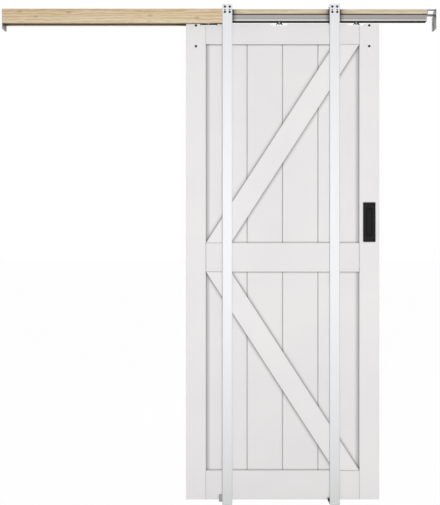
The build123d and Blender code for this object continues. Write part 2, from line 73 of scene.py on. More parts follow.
def node_box(node):
    """The low and the high corner of a CAD node, in millimetres."""
    return [[round(value / MM, 2) for value in corner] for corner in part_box(node)]


def middle_of(node, axis):
    """The middle of a CAD node along an axis, in millimetres."""
    low, high = node_box(node)
    return (low[axis] + high[axis]) / 2


def add_node(material, kind, inputs=None, stops=(), **settings):
    """Add one shader node with its settings.

    Each input is a value or an output to link, and each stop a place and a hex code.
    """
    node = material.node_tree.nodes.new(kind)
    for name, value in settings.items():
        setattr(node, name, value)
    for name, value in (inputs or {}).items():
        if isinstance(value, bpy.types.NodeSocket):
            material.node_tree.links.new(value, node.inputs[name])
        else:
            node.inputs[name].default_value = value
    for element, (place, code) in zip(node.color_ramp.elements if stops else (), stops):
        element.position = place
        element.color = linear(code)
    return node


def new_material(name, **inputs):
    """A material with an empty shader, its constants, and the object's own coordinates."""
    material = bpy.data.materials.new(name)
    material.use_nodes = True
    shader = material.node_tree.nodes["Principled BSDF"]
    for socket, value in inputs.items():
        shader.inputs[socket.replace("_", " ")].default_value = value
    coords = add_node(material, "ShaderNodeTexCoord").outputs["Object"]
    return material, shader, coords


def finish_with(material, shader, **outputs):
    """Link patterns to the shader's sockets."""
    for socket, output in outputs.items():
        material.node_tree.links.new(output, shader.inputs[socket.replace("_", " ")])
    return material


DEEPEST_SHADE = 0.08


def shade_corners(material, colour, reach_mm, depth):
    """Paint shade into a colour in corners and slots within a reach, but never to black."""
    corner = add_node(material, "ShaderNodeAmbientOcclusion", {"Distance": reach_mm * MM}, samples=24)
    share = add_node(material, "ShaderNodeMapRange",
                     {"Value": corner.outputs["AO"], "From Min": 1 - (1 - DEEPEST_SHADE) / depth,
                      "From Max": 1.0, "To Min": DEEPEST_SHADE, "To Max": 1.0})
    return add_node(material, "ShaderNodeMix", {"Factor": 1.0, "A": colour, "B": share.outputs[0]},
                    data_type="RGBA", blend_type="MULTIPLY").outputs["Result"]


# Pine: sizes of its patterns and places of its pith and knots, in millimetres
WANDER_SIZE, WANDER_REACH = (420, 30, 30), 40
RING_SPACING = 13
STREAK_SIZE = (260, 7, 7)
# Real fibres are too fine to show, so these are drawn coarser
FIBRE_SIZE = (45, 1.6, 1.6)
PITH = (0, -20, 2030)
KNOT_SIZE = (16, 22, 7)
KNOT_SCALE = [per(size) for size in KNOT_SIZE]
KNOT_PLACES = (
    (-850, -37, 2099), (-780, -37, 2077), (-640, -37, 2096), (-294, -37, 2082), (-95, -37, 2072),
    (-620, 37, 2085), (300, 0, 2103), (760, 0, 2099),
)
HEART_HEIGHT, SAP_HEIGHT = 2111 * MM, 2050 * MM
# At a scale of one, a wave texture's rings lie this far apart
RING_UNIT = math.tau / 20


def planed_pine(name, pale, tan, shade_depth):
    """Planed pine: tan late-wood lines in pale early wood, paler sapwood below, fine fibres, few knots, and
    painted shade in its corners and slots.
    """
    material, shader, coords = new_material(name, Roughness=0.62, Specular_IOR_Level=0.25)
    wander = add_node(material, "ShaderNodeMapping",
                      {"Vector": coords, "Scale": [per(size) for size in WANDER_SIZE]})
    drift = add_node(material, "ShaderNodeTexNoise",
                     {"Vector": wander.outputs[0], "Scale": 1, "Detail": 2})
    pith = add_node(material, "ShaderNodeMapping", {"Vector": coords, "Location": -at(*PITH)})
    bent = add_node(material, "ShaderNodeVectorMath",
                    {0: drift.outputs["Color"], "Scale": WANDER_REACH * MM}, operation="SCALE")
    bent_coords = add_node(material, "ShaderNodeVectorMath", {0: pith.outputs[0], 1: bent.outputs[0]})
    rings = add_node(material, "ShaderNodeTexWave",
                     {"Vector": bent_coords.outputs[0], "Scale": RING_UNIT * per(RING_SPACING),
                      "Distortion": 2.2, "Detail": 2.0, "Detail Scale": 1.0},
                     wave_type="RINGS", rings_direction="X", wave_profile="SIN")
    streak_coords = add_node(material, "ShaderNodeMapping",
                             {"Vector": coords, "Scale": [per(size) for size in STREAK_SIZE]})
    streaks = add_node(material, "ShaderNodeTexNoise",
                       {"Vector": streak_coords.outputs[0], "Scale": 1, "Detail": 3})
    fibre_coords = add_node(material, "ShaderNodeMapping",
                            {"Vector": coords, "Scale": [per(size) for size in FIBRE_SIZE]})
    fibres = add_node(material, "ShaderNodeTexNoise",
                      {"Vector": fibre_coords.outputs[0], "Scale": 1, "Detail": 2})
    crisp = add_node(material, "ShaderNodeMapRange",
                     {"Value": fibres.outputs["Fac"], "From Min": 0.3, "From Max": 0.7})
    late = add_node(material, "ShaderNodeMix",
                    {"Factor": 0.4, "A": streaks.outputs["Fac"], "B": rings.outputs["Fac"]})
    tone = add_node(material, "ShaderNodeMix",
                    {"Factor": 0.3, "A": late.outputs[0], "B": crisp.outputs[0]})
    height = add_node(material, "ShaderNodeSeparateXYZ", {"Vector": coords})
    sap = add_node(material, "ShaderNodeMapRange",
                   {"Value": height.outputs["Z"], "From Min": HEART_HEIGHT, "From Max": SAP_HEIGHT,
                    "To Min": 0.08, "To Max": -0.16})
    grown = add_node(material, "ShaderNodeMath", {0: tone.outputs[0], 1: sap.outputs[0]})
    colour = add_node(material, "ShaderNodeValToRGB", {"Fac": grown.outputs[0]},
                      stops=((0.22, pale), (0.78, tan))).outputs["Color"]
    for place in KNOT_PLACES:
        knot_coords = add_node(material, "ShaderNodeMapping",
                               {"Vector": coords, "Scale": KNOT_SCALE,
                                "Location": [-value * MM * scale
                                             for value, scale in zip(place, KNOT_SCALE)]})
        reach = add_node(material, "ShaderNodeVectorMath", {0: knot_coords.outputs[0]},
                         operation="LENGTH")
        inside = add_node(material, "ShaderNodeMapRange",
                          {"Value": reach.outputs["Value"], "From Min": 0.5, "From Max": 1.0,
                           "To Min": 0.4, "To Max": 0.0}, interpolation_type="SMOOTHSTEP")
        colour = add_node(material, "ShaderNodeMix",
                          {"Factor": inside.outputs[0], "A": colour, "B": linear("#9A7A50")},
                          data_type="RGBA").outputs["Result"]
    # Painted shade in corners and slots, deeper for a larger shade depth
    colour = shade_corners(material, colour, reach_mm=60, depth=shade_depth)
    bump = add_node(material, "ShaderNodeBump",
                    {"Height": tone.outputs[0], "Strength": 0.25, "Distance": 0.4 * MM})
    return finish_with(material, shader, Base_Color=colour, Normal=bump.outputs[0])


# Blind holes in the middles of the stiles, near their tops: places, size, and reach into the door's front
LEFT_HOLES, RIGHT_HOLES = middle_of("left_stile", 0), middle_of("right_stile", 0)
LOWER_HOLES, UPPER_HOLES = 1955.2, 2043.8
HOLES_MIDDLE = at((LEFT_HOLES + RIGHT_HOLES) / 2, 0, (LOWER_HOLES + UPPER_HOLES) / 2)
HOLES_HALF_SPACING = at((RIGHT_HOLES - LEFT_HOLES) / 2, 0, (UPPER_HOLES - LOWER_HOLES) / 2)
HOLE_RADIUS = 5.55 * MM
HOLE_MIDDLE, HOLE_HALF_DEPTH = -10.0 * MM, 7.1 * MM


def drilled_holes(material, colour, coords):
    """Bare brown board inside the holes drilled in the door's front face, painted near black for the shade
    in their depth.
    """
    away = add_node(material, "ShaderNodeVectorMath", {0: coords, 1: HOLES_MIDDLE}, operation="SUBTRACT")
    aside = add_node(material, "ShaderNodeVectorMath", {0: away.outputs[0]}, operation="ABSOLUTE")
    offset = add_node(material, "ShaderNodeVectorMath",
                      {0: aside.outputs[0], 1: HOLES_HALF_SPACING}, operation="SUBTRACT")
    flat = add_node(material, "ShaderNodeVectorMath", {0: offset.outputs[0], 1: (1, 0, 1)},
                    operation="MULTIPLY")
    reach = add_node(material, "ShaderNodeVectorMath", {0: flat.outputs[0]}, operation="LENGTH")
    near = add_node(material, "ShaderNodeMath", {0: reach.outputs["Value"], 1: HOLE_RADIUS},
                    operation="LESS_THAN")
    depth = add_node(material, "ShaderNodeSeparateXYZ", {"Vector": coords})
    within = add_node(material, "ShaderNodeMath",
                      {0: depth.outputs["Y"], 1: HOLE_MIDDLE, 2: HOLE_HALF_DEPTH}, operation="COMPARE")
    inside = add_node(material, "ShaderNodeMath", {0: near.outputs[0], 1: within.outputs[0]},
                      operation="MULTIPLY")
    # Painted shade: the holes' insides are near black, darker than bare board
    return add_node(material, "ShaderNodeMix",
                    {"Factor": inside.outputs[0], "A": colour, "B": linear("#1C1612")},
                    data_type="RGBA").outputs["Result"]


# The foil's drift of tone and its orange peel, in millimetres; the peel is drawn coarser, so that it shows
DRIFT_SIZE, PEEL_SIZE = 320, 2.5


def wrapped_white(name, dull, bright):
    """Foil-wrapped fibreboard: an even satin white with a very slight drift of tone and orange peel."""
    material, shader, coords = new_material(name, Roughness=0.55, Specular_IOR_Level=0.3)
    drift = add_node(material, "ShaderNodeTexNoise",
                     {"Vector": coords, "Scale": per(DRIFT_SIZE), "Detail": 2})
    white = add_node(material, "ShaderNodeValToRGB", {"Fac": drift.outputs["Fac"]},
                     stops=((0.3, dull), (0.7, bright))).outputs["Color"]
    peel = add_node(material, "ShaderNodeTexNoise",
                    {"Vector": coords, "Scale": per(PEEL_SIZE), "Detail": 2})
    bump = add_node(material, "ShaderNodeBump",
                    {"Height": peel.outputs["Fac"], "Strength": 0.08, "Distance": 0.15 * MM})
    finish_with(material, shader, Normal=bump.outputs[0])
    return material, shader, coords, white


# The strip at the door's foot beside the guides, left without painted shade: its middle, half its width, its
# top and its soft edge
UNSHADED_MIDDLE, UNSHADED_REACH, UNSHADED_TOP, UNSHADED_EDGE = 6.2 * MM, 30 * MM, 46 * MM, 20 * MM


def wrapped_boards(name, dull, bright):
    """Wrapped stiles, rails and braces: painted shade along their seams, left out at the door's foot where
    the guides run.
    """
    material, shader, coords, white = wrapped_white(name, dull, bright)
    # Painted shade along the seams and in the corners
    shaded = shade_corners(material, white, reach_mm=12, depth=1.6)
    # Painted shade is left out in a strip at the door's foot, beside the guides
    place = add_node(material, "ShaderNodeSeparateXYZ", {"Vector": coords})
    above = add_node(material, "ShaderNodeMapRange",
                     {"Value": place.outputs["Z"], "From Min": UNSHADED_TOP,
                      "From Max": UNSHADED_TOP + UNSHADED_EDGE})
    aside = add_node(material, "ShaderNodeMath", {0: place.outputs["X"], 1: UNSHADED_MIDDLE},
                     operation="SUBTRACT")
    apart = add_node(material, "ShaderNodeMath", {0: aside.outputs[0]}, operation="ABSOLUTE")
    beside = add_node(material, "ShaderNodeMapRange",
                      {"Value": apart.outputs[0], "From Min": UNSHADED_REACH,
                       "From Max": UNSHADED_REACH + UNSHADED_EDGE})
    shade_share = add_node(material, "ShaderNodeMath", {0: above.outputs[0], 1: beside.outputs[0]},
                     operation="MAXIMUM")
    colour = add_node(material, "ShaderNodeMix", {"Factor": shade_share.outputs[0], "A": white, "B": shaded},
                      data_type="RGBA").outputs["Result"]
    colour = drilled_holes(material, colour, coords)
    return finish_with(material, shader, Base_Color=colour)


# The panel between the stiles, and its braces with the length of their level ends
PANEL_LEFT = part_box("left_stile")[1][0]
PANEL_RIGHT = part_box("right_stile")[0][0]
PANEL_MIDDLE = (PANEL_LEFT + PANEL_RIGHT) / 2
BRACE_LOW, BRACE_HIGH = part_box("front_upper_brace")
MID_RAIL_HEIGHT = sum(corner[2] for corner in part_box("front_mid_rail")) / 2
BRACE_END = 106.4 * MM
# The painted shade beside a stile and beside a brace: how far it is full, where it ends, and what it leaves
STILE_SHADE_FULL, STILE_SHADE_END, STILE_SHADE = 9 * MM, 21 * MM, 0.7
BRACE_SHADE_FULL, BRACE_SHADE_END, BRACE_SHADE = 4 * MM, 18 * MM, 0.8


def wrapped_planks(name, dull, bright):
    """The wrapped planks: the same white, with painted shade in their corners and a soft painted grey shade
    beside the stiles and the braces.
    """
    material, shader, coords, white = wrapped_white(name, dull, bright)
    # Painted shade in corners and grooves
    colour = shade_corners(material, white, reach_mm=9, depth=1.1)
    # Painted shade beside the stiles and the braces, by distance from them
    place = add_node(material, "ShaderNodeSeparateXYZ", {"Vector": coords})
    across = add_node(material, "ShaderNodeMath", {0: place.outputs["X"], 1: PANEL_MIDDLE},
                      operation="SUBTRACT")
    outward = add_node(material, "ShaderNodeMath", {0: across.outputs[0]}, operation="ABSOLUTE")
    half_panel = (PANEL_RIGHT - PANEL_LEFT) / 2
    by_stile = add_node(material, "ShaderNodeMapRange",
                        {"Value": outward.outputs[0], "From Min": half_panel - STILE_SHADE_END,
                         "From Max": half_panel - STILE_SHADE_FULL, "To Min": 1.0, "To Max": STILE_SHADE},
                        interpolation_type="SMOOTHSTEP")
    level = add_node(material, "ShaderNodeMath", {0: place.outputs["Z"], 1: MID_RAIL_HEIGHT},
                     operation="SUBTRACT")
    climb = add_node(material, "ShaderNodeMath", {0: level.outputs[0]}, operation="ABSOLUTE")
    run = BRACE_HIGH[0] - BRACE_LOW[0] - BRACE_END
    rise = BRACE_HIGH[2] - BRACE_LOW[2]
    brace_middle = (BRACE_LOW[2] + BRACE_HIGH[2]) / 2 - MID_RAIL_HEIGHT
    over = add_node(material, "ShaderNodeMath", {0: climb.outputs[0], 1: brace_middle},
                    operation="SUBTRACT")
    slope = add_node(material, "ShaderNodeMath", {0: over.outputs[0], 1: run / rise},
                     operation="MULTIPLY")
    off_brace = add_node(material, "ShaderNodeMath", {0: across.outputs[0], 1: slope.outputs[0]},
                         operation="SUBTRACT")
    from_brace = add_node(material, "ShaderNodeMath", {0: off_brace.outputs[0]}, operation="ABSOLUTE")
    slant = math.hypot(run, rise) / rise
    by_brace = add_node(material, "ShaderNodeMapRange",
                        {"Value": from_brace.outputs[0],
                         "From Min": BRACE_END / 2 + BRACE_SHADE_FULL * slant,
                         "From Max": BRACE_END / 2 + BRACE_SHADE_END * slant,
                         "To Min": BRACE_SHADE, "To Max": 1.0},
                        interpolation_type="SMOOTHSTEP")
    shade = add_node(material, "ShaderNodeMath", {0: by_stile.outputs[0], 1: by_brace.outputs[0]},
                     operation="MULTIPLY")
    colour = add_node(material, "ShaderNodeMix", {"Factor": 1.0, "A": colour, "B": shade.outputs[0]},
                      data_type="RGBA", blend_type="MULTIPLY").outputs["Result"]
    return finish_with(material, shader, Base_Color=colour)


# The studs' rolling lines, drawn coarser so that they show, and how fast the painted shade darkens the studs
# downwards
ROLLING_SIZE = (1.8, 1.8, 240)
FLOOR_SHADE_HEIGHT = 200


def coated_stud_steel():
    """White-coated zinc sheet: a cool white with faint rolling lines upwards, and painted shade darkening it
    towards the floor.
    """
    material, shader, coords = new_material("white_coated_steel", Roughness=0.395)
    lines = add_node(material, "ShaderNodeMapping",
                     {"Vector": coords, "Scale": [per(size) for size in ROLLING_SIZE]})
    rolling = add_node(material, "ShaderNodeTexNoise",
                       {"Vector": lines.outputs[0], "Scale": 1, "Detail": 3})
    white = add_node(material, "ShaderNodeValToRGB", {"Fac": rolling.outputs["Fac"]},
                     stops=((0.3, "#E6E8EB"), (0.7, "#EBEDEF")))
    # Painted shade: darker towards the floor, mixed towards a grey low down
    height = add_node(material, "ShaderNodeSeparateXYZ", {"Vector": coords})
    depth = add_node(material, "ShaderNodeMath", {0: height.outputs["Z"], 1: -per(FLOOR_SHADE_HEIGHT)},
                     operation="MULTIPLY")
    dull = add_node(material, "ShaderNodeMath", {0: depth.outputs[0]}, operation="EXPONENT")
    colour = add_node(material, "ShaderNodeMix",
                      {"Factor": dull.outputs[0], "A": white.outputs["Color"], "B": linear("#DADDDB")},
                      data_type="RGBA")
    bump = add_node(material, "ShaderNodeBump",
                    {"Height": rolling.outputs["Fac"], "Strength": 0.06, "Distance": 0.1 * MM})
    return finish_with(material, shader, Base_Color=colour.outputs["Result"], Normal=bump.outputs[0])


# The track's lip, lit with painted light, and its channel, dark with painted shade; and its die lines, drawn
# coarser so that they show
LIP_TOP, LIP_BOTTOM = 2070.5 * MM, node_box("track")[0][2] * MM
CHANNEL_HALF_WIDTH = 24.7 * MM
DIE_LINE_SIZE = (500, 0.9, 0.9)
LOOKS_DOWN = -0.6


def extruded_aluminium():
    """Mill-finish extruded aluminium: grey metal with die lines, a lip made lighter with painted light, and
    painted shade in the channel, on the undersides and in corners.
    """
    material, shader, coords = new_material("extruded_aluminium", Specular_IOR_Level=0.0)
    lines = add_node(material, "ShaderNodeMapping",
                     {"Vector": coords, "Scale": [per(size) for size in DIE_LINE_SIZE]})
    die = add_node(material, "ShaderNodeTexNoise", {"Vector": lines.outputs[0], "Scale": 1, "Detail": 2})
    side = add_node(material, "ShaderNodeValToRGB", {"Fac": die.outputs["Fac"]},
                    stops=((0.3, "#777573"), (0.7, "#878583")))
    # Painted light: the lip gets a lighter copy of the side's grey
    lit_lip = add_node(material, "ShaderNodeValToRGB", {"Fac": die.outputs["Fac"]},
                   stops=((0.3, "#949291"), (0.7, "#A3A1A0")))
    place = add_node(material, "ShaderNodeSeparateXYZ", {"Vector": coords})
    below = add_node(material, "ShaderNodeMath", {0: place.outputs["Z"], 1: LIP_TOP},
                     operation="LESS_THAN")
    # Painted highlight, brighter towards the lip's bottom edge
    lip_highlight = add_node(material, "ShaderNodeMapRange",
                      {"Value": place.outputs["Z"], "From Min": LIP_TOP, "From Max": LIP_BOTTOM,
                       "To Min": 0.35, "To Max": 1.0})
    on_lip = add_node(material, "ShaderNodeMath", {0: below.outputs[0], 1: lip_highlight.outputs[0]},
                      operation="MULTIPLY")
    metal = add_node(material, "ShaderNodeMix",
                     {"Factor": on_lip.outputs[0], "A": side.outputs["Color"], "B": lit_lip.outputs["Color"]},
                     data_type="RGBA")
    # Painted shade: faces that look down and the inside of the channel are dark and not metal
    facing = add_node(material, "ShaderNodeNewGeometry")
    upright = add_node(material, "ShaderNodeSeparateXYZ", {"Vector": facing.outputs["Normal"]})
    under = add_node(material, "ShaderNodeMath", {0: upright.outputs["Z"], 1: LOOKS_DOWN},
                     operation="LESS_THAN")
    depth = add_node(material, "ShaderNodeMath", {0: place.outputs["Y"]}, operation="ABSOLUTE")
    inside = add_node(material, "ShaderNodeMath", {0: depth.outputs[0], 1: CHANNEL_HALF_WIDTH},
                      operation="LESS_THAN")
    channel = add_node(material, "ShaderNodeMath", {0: under.outputs[0], 1: inside.outputs[0]},
                       operation="MAXIMUM")
    colour = add_node(material, "ShaderNodeMix",
                      {"Factor": channel.outputs[0], "A": metal.outputs["Result"],
                       "B": linear("#262625")},
                      data_type="RGBA")
    # Painted shade in corners, beside the studs
    shaded = shade_corners(material, colour.outputs["Result"], reach_mm=22, depth=1.8)
    unshaded_metal = add_node(material, "ShaderNodeMath", {0: 1.0, 1: channel.outputs[0]}, operation="SUBTRACT")
    rough = add_node(material, "ShaderNodeMapRange",
                     {"Value": die.outputs["Fac"], "To Min": 0.46, "To Max": 0.6})
    bump = add_node(material, "ShaderNodeBump",
                    {"Height": die.outputs["Fac"], "Strength": 0.12, "Distance": 0.1 * MM})
    return finish_with(material, shader, Base_Color=shaded, Metallic=unshaded_metal.outputs[0],
                       Roughness=rough.outputs[0], Normal=bump.outputs[0])


# The zinc sheet's crystals and the plating's mottle, in millimetres
CRYSTAL_SIZE, MOTTLE_SIZE = 7, 4


def galvanised_sheet():
    """Galvanised sheet: dull grey zinc with soft crystal patches."""
    material, shader, coords = new_material("galvanised_sheet", Metallic=1.0)
    crystals = add_node(material, "ShaderNodeTexVoronoi",
                        {"Vector": coords, "Scale": per(CRYSTAL_SIZE), "Randomness": 1.0})
    colour = add_node(material, "ShaderNodeValToRGB", {"Fac": crystals.outputs["Color"]},
                      stops=((0, "#777975"), (1, "#8E908B"))).outputs["Color"]
    rough = add_node(material, "ShaderNodeMapRange",
                     {"Value": crystals.outputs["Distance"], "To Min": 0.42, "To Max": 0.6})
    return finish_with(material, shader, Base_Color=colour, Roughness=rough.outputs[0])


def plated_steel(name, dark, pale, roughness):
    """Zinc-plated small steel: metal with a slight mottle from the plating bath."""
    material, shader, coords = new_material(name, Metallic=1.0, Roughness=roughness)
    mottle = add_node(material, "ShaderNodeTexNoise",
                      {"Vector": coords, "Scale": per(MOTTLE_SIZE), "Detail": 3})
    colour = add_node(material, "ShaderNodeValToRGB", {"Fac": mottle.outputs["Fac"]},
                      stops=((0, dark), (1, pale))).outputs["Color"]
    return finish_with(material, shader, Base_Color=colour)


def moulded(name, dark, pale, rough, gloss, grain_mm):
    """A moulding or a coating with a fine even grain, and the gloss that its surface keeps.

    The grain is drawn coarser, so that it shows.
    """
    material, shader, coords = new_material(name, Roughness=rough, Specular_IOR_Level=gloss)
    grain = add_node(material, "ShaderNodeTexNoise",
                     {"Vector": coords, "Scale": per(grain_mm), "Detail": 2})
    colour = add_node(material, "ShaderNodeValToRGB", {"Fac": grain.outputs["Fac"]},
                      stops=((0, dark), (1, pale))).outputs["Color"]
    bump = add_node(material, "ShaderNodeBump",
                    {"Height": grain.outputs["Fac"], "Strength": 0.2, "Distance": 0.1 * MM})
    return finish_with(material, shader, Base_Color=colour, Normal=bump.outputs[0])


# The finish of each material slot, and of the nodes that differ from their slot's
FINISHES = {
    "pine": planed_pine("planed_pine", "#EEDDBF", "#CFAF7F", shade_depth=1.9),
    "door_white": wrapped_boards("white_wrapped_boards", "#F2EFF0", "#F6F3F3"),
    "stud_steel": coated_stud_steel(),
    "track_aluminium": extruded_aluminium(),
    "bracket_steel": galvanised_sheet(),
    "hanger_steel": plated_steel("black_zinc_plate", "#222223", "#333334", roughness=0.45),
    "zinc_screw": plated_steel("bright_zinc_plate", "#989B9D", "#AEB1B3", roughness=0.42),
    "guide_nylon": moulded("grey_moulded_nylon", "#9C9C9C", "#ACACAC", rough=0.5, gloss=0.3, grain_mm=1.2),
    "plug_black": moulded("black_moulded_nylon", "#0E0E0E", "#161616", rough=0.55, gloss=0.12, grain_mm=1.2),
    "buffer_rubber": moulded("moulded_rubber", "#131313", "#1C1C1C", rough=0.8, gloss=0.15, grain_mm=0.8),
    "wheel_nylon": moulded("natural_nylon", "#DEDDD6", "#E8E7E1", rough=0.4, gloss=0.5, grain_mm=1.5),
    "pull_black": moulded("black_powder_coat", "#0E0E0E", "#181818", rough=0.6, gloss=0.12, grain_mm=0.9),
}
# The header board: paler pine with deeper painted shade in its corners, beside the studs
NODE_FINISHES = {"header_board": planed_pine("planed_pale_pine", "#EFE4CC", "#D2BD95", shade_depth=2.8)}
plank_finish = wrapped_planks("white_wrapped_planks", "#EFECED", "#F3F0F0")
for plank_name in ("plank_1", "plank_2", "plank_3", "plank_4"):
    NODE_FINISHES[plank_name] = plank_finish
rail_finish = wrapped_boards("white_wrapped_rails", "#EFECED", "#F3F0F0")
for rail_name in ("top_rail", "bottom_rail", "front_mid_rail", "rear_mid_rail"):
    NODE_FINISHES[rail_name] = rail_finish

for node_name, node in NODES.items():
    node.data.materials.clear()
    node.data.materials.append(NODE_FINISHES.get(node_name, FINISHES[SLOT_OF[node_name]]))


# How near a place an edge is picked, in millimetres, and how straight along an axis, as a cosine
NEAR = 0.1
STRAIGHT = 0.9
# How far points are merged, and how far a plane's cut snaps, in millimetres
MERGE_REACH, CUT_REACH = 0.01, 0.001
SMOOTH_ANGLE, SHARP_ANGLE = math.radians(35), math.radians(50)
# Sides of a round bar, and of the cone that chamfers a hexagon
ROUND_SIDES, TURNED_SIDES = 40, 48


def begin(primitive, **settings):
    """Add a primitive at its size and place, with nothing else selected, and open it in edit mode."""
    bpy.ops.object.select_all(action="DESELECT")
    getattr(bpy.ops.mesh, f"primitive_{primitive}_add")(**settings)
    bpy.ops.object.transform_apply(location=True, rotation=True, scale=True)
    bpy.ops.object.mode_set(mode="EDIT")
    return bpy.context.object


def begin_block(low, high):
    """Add a block between two corners in millimetres, open in edit mode."""
    low, high = at(*low), at(*high)
    return begin("cube", size=1, location=(low + high) / 2, scale=high - low)


def begin_round(radius, bottom, top, sides=ROUND_SIDES):
    """Add an upright round bar about the Z axis, open in edit mode."""
    return begin("cylinder", vertices=sides, radius=radius * MM, depth=(top - bottom) * MM,
                 location=at(0, 0, (bottom + top) / 2))


def pick_faces(test):
    """Select the faces whose middle, in millimetres, and normal pass a test."""
    bpy.ops.mesh.select_mode(type="FACE")
    bpy.ops.mesh.select_all(action="DESELECT")
    shape = bmesh.from_edit_mesh(bpy.context.object.data)
    for face in shape.faces:
        if test(face.calc_center_median() / MM, face.normal):
            face.select_set(True)
    bmesh.update_edit_mesh(bpy.context.object.data)


def pick_edges(test):
    """Select the edges whose middle, in millimetres, and direction pass a test."""
    bpy.ops.mesh.select_mode(type="EDGE")
    bpy.ops.mesh.select_all(action="DESELECT")
    shape = bmesh.from_edit_mesh(bpy.context.object.data)
    for edge in shape.edges:
        first, second = (corner.co for corner in edge.verts)
        if test((first + second) / 2 / MM, (second - first).normalized()):
            edge.select_set(True)
    bmesh.update_edit_mesh(bpy.context.object.data)


def facing_up(middle, normal):
    """True for a face that looks up."""
    return normal.z > STRAIGHT


def facing_down(middle, normal):
    """True for a face that looks down."""
    return normal.z < -STRAIGHT


def extrude(x, y, z):
    """Extrude what is selected along a distance in millimetres."""
    bpy.ops.mesh.extrude_region_move(TRANSFORM_OT_translate={"value": at(x, y, z)})


def resize(centre, x, y, z):
    """Scale what is selected about a point in millimetres."""
    bpy.ops.transform.resize(value=(x, y, z), center_override=at(*centre))


def bevel(size, segments=1):
    """Bevel the selected edges by a size in millimetres."""
    bpy.ops.mesh.bevel(offset=size * MM, segments=segments, affect="EDGES")


def close_edit():
    """Leave edit mode."""
    bpy.ops.object.mode_set(mode="OBJECT")


def apply_modifier(piece, kind, **settings):
    """Add a modifier with its settings to a piece and apply it."""
    bpy.context.view_layer.objects.active = piece
    modifier = piece.modifiers.new(kind.lower(), kind)
    for name, value in settings.items():
        setattr(modifier, name, value)
    bpy.ops.object.modifier_apply(modifier=modifier.name)


def combine(piece, tool, operation):
    """Cut a piece with another, or join or cross them, and use the other up."""
    apply_modifier(piece, "BOOLEAN", object=tool, operation=operation, solver="EXACT")
    bpy.data.objects.remove(tool)


def copy_of(piece, place=(0, 0, 0), turn=(0, 0, 0), scale=(1, 1, 1)):
    """A copy of a piece with its own mesh, moved in millimetres and turned in degrees."""
    bpy.ops.object.select_all(action="DESELECT")
    piece.select_set(True)
    bpy.context.view_layer.objects.active = piece
    bpy.ops.object.duplicate()
    copy = bpy.context.object
    copy.location = at(*place)
    copy.rotation_euler = [math.radians(angle) for angle in turn]
    copy.scale = scale
    bpy.ops.object.transform_apply(location=True, rotation=True, scale=True)
    return copy


def join(pieces):
    """Join pieces into the first of them."""
    bpy.ops.object.select_all(action="DESELECT")
    for piece in pieces:
        piece.select_set(True)
    bpy.context.view_layer.objects.active = pieces[0]
    bpy.ops.object.join()
    return pieces[0]


def set_out(model, places):
    """Copy a model to each place and turn, join the copies in one piece, and use the model up."""
    copies = [copy_of(model, place, turn) for place, turn in places]
    bpy.data.objects.remove(model)
    return join(copies)


def face_outwards(piece):
    """Merge a piece's doubled points and turn its faces outwards."""
    bpy.context.view_layer.objects.active = piece
    bpy.ops.object.mode_set(mode="EDIT")
    bpy.ops.mesh.select_all(action="SELECT")
    bpy.ops.mesh.remove_doubles(threshold=MERGE_REACH * MM)
    bpy.ops.mesh.normals_make_consistent(inside=False)
    close_edit()


def finish_piece(piece, name, body, node):
    """Close and name a piece, give it its node's finish, and let it stand for that node on its body."""
    slot = SLOT_OF[node]
    face_outwards(piece)
    bpy.ops.object.select_all(action="DESELECT")
    piece.select_set(True)
    bpy.context.view_layer.objects.active = piece
    bpy.ops.object.shade_smooth_by_angle(angle=SMOOTH_ANGLE)
    piece.name = name
    piece.data.name = name
    piece.data.materials.clear()
    piece.data.materials.append(NODE_FINISHES.get(node, FINISHES[slot]))
    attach(piece, body)
    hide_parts(node)


# Ways to point, as turns in degrees of a screw or plug that points down
DOWN = (0, 0, 0)
UP = (180, 0, 0)
TO_BACK = (90, 0, 0)
TO_FRONT = (-90, 0, 0)
TO_RIGHT = (0, -90, 0)
TO_LEFT = (0, 90, 0)
FRONT_AND_REAR = ((-1, TO_BACK), (1, TO_FRONT))
BOTH_SIDES = (-1, 1)
FRONT_TO_REAR = (1, -1, 1)

# Sizes and places of the small hardware, in millimetres, as the frame has them
STUD_FACE = node_box("jamb_stud_rear")[1][1]
STUD_HOLE_OFFSET = 10.2
STUD_COLUMNS = [middle_of(stud, 0) + side * STUD_HOLE_OFFSET
                for stud in ("jamb_stud_front", "pocket_stud_front") for side in BOTH_SIDES]
HANGER_SIDES = ("left", "middle", "right")
HANGER_PLACES = [middle_of(f"{side}_hanger_bracket", 0) for side in HANGER_SIDES]
# How far a cutter reaches past what it cuts
SPARE = 1

# Wood screws: radius of the shank, then each head's radius, height, softened edge and recess
SHANK, TIP_LENGTH, TIP_SHARE = 1.8, 4, 0.15
SUNK_HEAD, SUNK_DEPTH, SUNK_EDGE, SUNK_RECESS = 3.2, 1.4, 0.15, 1.0
PAN_HEAD, PAN_HEIGHT, PAN_TOP_SHARE, PAN_EDGE, PAN_RECESS = 3.2, 1.8, 0.7, 0.7, 1.1
RECESS_WIDTH = 3.6
RECESS_FOOT = (0.45, 0.7, 1)
HOLE_ROOM = 0.05
# Hexagons: the share of the flats that the turned chamfer leaves, and its angle
CHAMFER_SHARE, CHAMFER_ANGLE = 0.95, math.radians(30)
HALF_FLAT = math.radians(30)
# Steps in one turn of a thread
THREAD_STEPS = 20


def cut_cross(screw, face, depth):
    """Cut a tapered cross recess into an upright screw's head."""
    half_length, half_width = RECESS_WIDTH / 2, RECESS_WIDTH / 8
    for turn in (0, 90):
        bar = begin_block((-half_length, -half_width, face - depth),
                          (half_length, half_width, face + depth))
        pick_faces(facing_down)
        resize((0, 0, face - depth), *RECESS_FOOT)
        close_edit()
        bar.rotation_euler.z = math.radians(turn)
        bpy.ops.object.transform_apply(rotation=True)
        combine(screw, bar, "DIFFERENCE")


